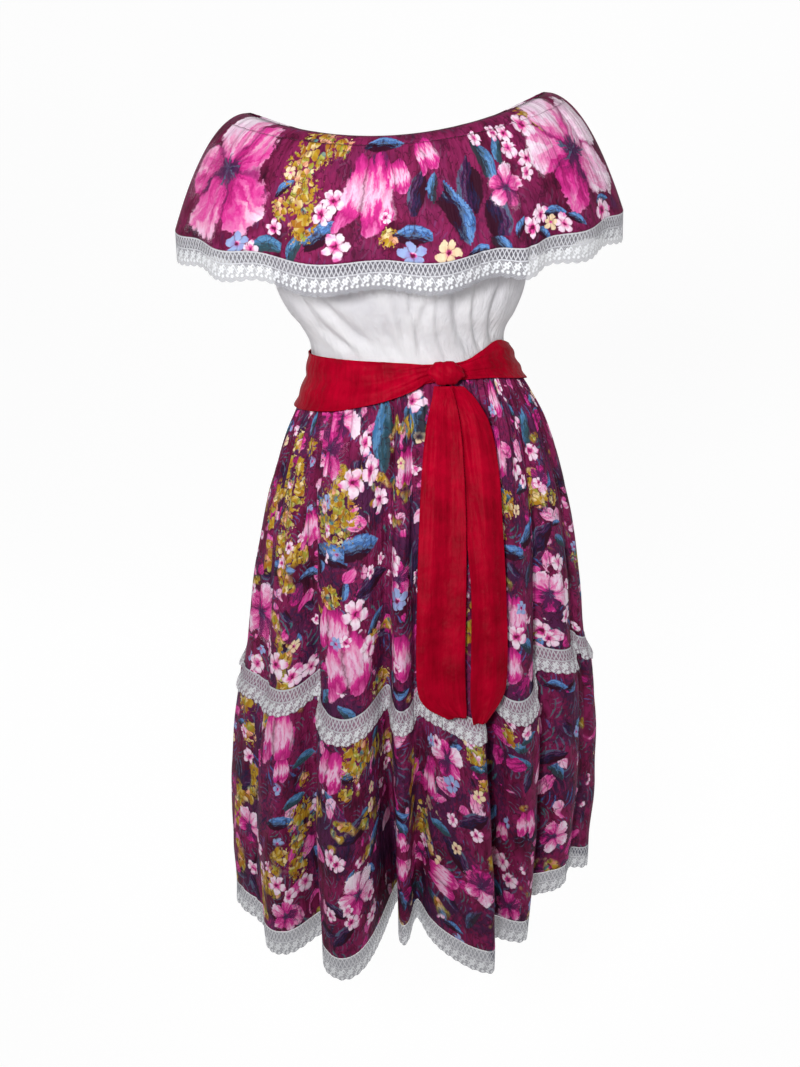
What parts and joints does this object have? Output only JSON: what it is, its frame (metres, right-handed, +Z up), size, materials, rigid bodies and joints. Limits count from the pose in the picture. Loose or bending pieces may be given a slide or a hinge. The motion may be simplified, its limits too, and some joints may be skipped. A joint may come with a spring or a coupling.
{
  "type": "puerto rican folk dress",
  "caption": "Worn off-the-shoulder folk dress with a gathered ruffle, white bodice, tied waist sash and tiered gathered skirt edged in lace",
  "frame": {"origin": "the middle of the neckline at shoulder height, where the wearer's shoulders hold the dress", "axes": "+X to the wearer's left, the front faces -Y, +Z up along the dress"},
  "size_m": [0.5116, 0.4136, 0.9994],
  "materials": {
    "flower_print_cotton": "smooth printed cotton with a slight sheen",
    "white_cotton": "matt woven cotton",
    "white_lace": "matt cotton lace",
    "red_satin": "soft satin sheen"
  },
  "bodies": {
    "root": {"neck_casing": "flower_print_cotton", "ruffle_front": "flower_print_cotton", "ruffle_back": "flower_print_cotton", "ruffle_lace_front": "white_lace", "ruffle_lace_back": "white_lace", "bodice_front": "white_cotton", "bodice_back": "white_cotton", "upper_tier_front": "flower_print_cotton", "upper_tier_back": "flower_print_cotton", "tier_lace_front": "white_lace", "tier_lace_back": "white_lace", "lower_tier_front": "flower_print_cotton", "lower_tier_back": "flower_print_cotton", "hem_lace_front": "white_lace", "hem_lace_back": "white_lace", "sash_band": "red_satin", "sash_knot": "red_satin", "sash_end_near": "red_satin", "sash_end_far": "red_satin"}
  },
  "joints": []
}
